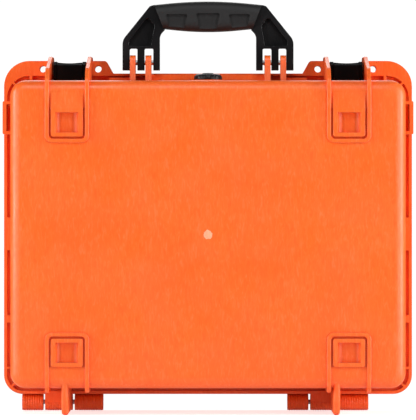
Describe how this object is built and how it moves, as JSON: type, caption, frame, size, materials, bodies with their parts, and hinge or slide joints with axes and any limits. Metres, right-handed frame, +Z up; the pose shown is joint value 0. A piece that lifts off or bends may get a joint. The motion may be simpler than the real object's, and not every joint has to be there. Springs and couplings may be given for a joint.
{
  "type": "first aid kit",
  "caption": "Waterproof hard-shell first aid case with folding handle, compound latches, purge valve and supplies in pocketed foam.",
  "frame": {"origin": "on the ground under the middle of the upright case", "axes": "+X along the case's width, +Y from the base's bottom face towards the lid, +Z up towards the handle"},
  "size_m": [0.408, 0.15, 0.4083],
  "materials": {
    "shell_plastic": "satin",
    "black_plastic": "satin",
    "grip_rubber": "matte",
    "seal_rubber": "matte",
    "pin_steel": "satin",
    "case_foam": "matte",
    "cotton": "matte",
    "dressing_paper": "matte",
    "carton": "satin",
    "blanket_foil": "gloss",
    "bottle_plastic": "gloss",
    "cap_plastic": "gloss",
    "tape_cloth": "matte",
    "pouch_film": "gloss",
    "tool_steel": "satin"
  },
  "bodies": {
    "base": {"base_shell": "shell_plastic", "base_foam": "case_foam", "valve_body": "black_plastic", "valve_nut": "black_plastic", "hinge_pin_left": "pin_steel", "hinge_pin_right": "pin_steel", "handle_pin_left": "pin_steel", "handle_pin_right": "pin_steel", "bandage_rolls": "cotton", "tape_spools": "tape_cloth", "dressing_packs": "dressing_paper", "plaster_box": "carton", "rescue_blankets": "blanket_foil", "antiseptic_bottle": "bottle_plastic", "bottle_cap": "cap_plastic", "cold_pack": "pouch_film", "tweezers": "tool_steel"},
    "lid": {"lid_shell": "shell_plastic", "gasket": "seal_rubber", "lid_foam": "case_foam", "clasp_pin_left": "pin_steel", "clasp_pin_right": "pin_steel"},
    "clasp_left": {"clasp_left": "black_plastic", "lever_pin_left": "pin_steel"},
    "lever_left": {"lever_left": "black_plastic"},
    "clasp_right": {"clasp_right": "black_plastic", "lever_pin_right": "pin_steel"},
    "lever_right": {"lever_right": "black_plastic"},
    "handle": {"handle_frame": "black_plastic", "handle_grip": "grip_rubber"},
    "valve_lift": {"valve_seal": "seal_rubber"},
    "valve_knob": {"valve_knob": "black_plastic", "valve_clip": "pin_steel"}
  },
  "joints": [
    {"name": "lid_swing", "type": "hinge", "parent": "base", "child": "lid", "pos_m": [0, 0.0272, 0.0087], "axis": [-1, 0, 0], "range_deg": [0, 105]},
    {"name": "clasp_left_swing", "type": "hinge", "parent": "lid", "child": "clasp_left", "pos_m": [-0.1375, 0.0442, 0.3392], "axis": [-1, 0, 0], "range_deg": [0, 115]},
    {"name": "lever_left_swing", "type": "hinge", "parent": "clasp_left", "child": "lever_left", "pos_m": [-0.1375, 0.0102, 0.3424], "axis": [-1, 0, 0], "range_deg": [0, 60]},
    {"name": "clasp_right_swing", "type": "hinge", "parent": "lid", "child": "clasp_right", "pos_m": [0.1375, 0.0442, 0.3392], "axis": [-1, 0, 0], "range_deg": [0, 115]},
    {"name": "lever_right_swing", "type": "hinge", "parent": "clasp_right", "child": "lever_right", "pos_m": [0.1375, 0.0102, 0.3424], "axis": [-1, 0, 0], "range_deg": [0, 60]},
    {"name": "handle_swing", "type": "hinge", "parent": "base", "child": "handle", "pos_m": [0, 0.0032, 0.3476], "axis": [1, 0, 0], "range_deg": [-60, 90]},
    {"name": "valve_rise", "type": "slide", "parent": "base", "child": "valve_lift", "axis": [0, 0, 1], "range_m": [0, 0.0016]},
    {"name": "valve_turn", "type": "hinge", "parent": "valve_lift", "child": "valve_knob", "pos_m": [0, -0.0128, 0.33], "axis": [0, 0, 1], "range_deg": [0, 360]}
  ],
  "couplings": [
    {"joint": "valve_rise", "follows": "valve_turn", "m_per_rad": 0.00023873}
  ]
}
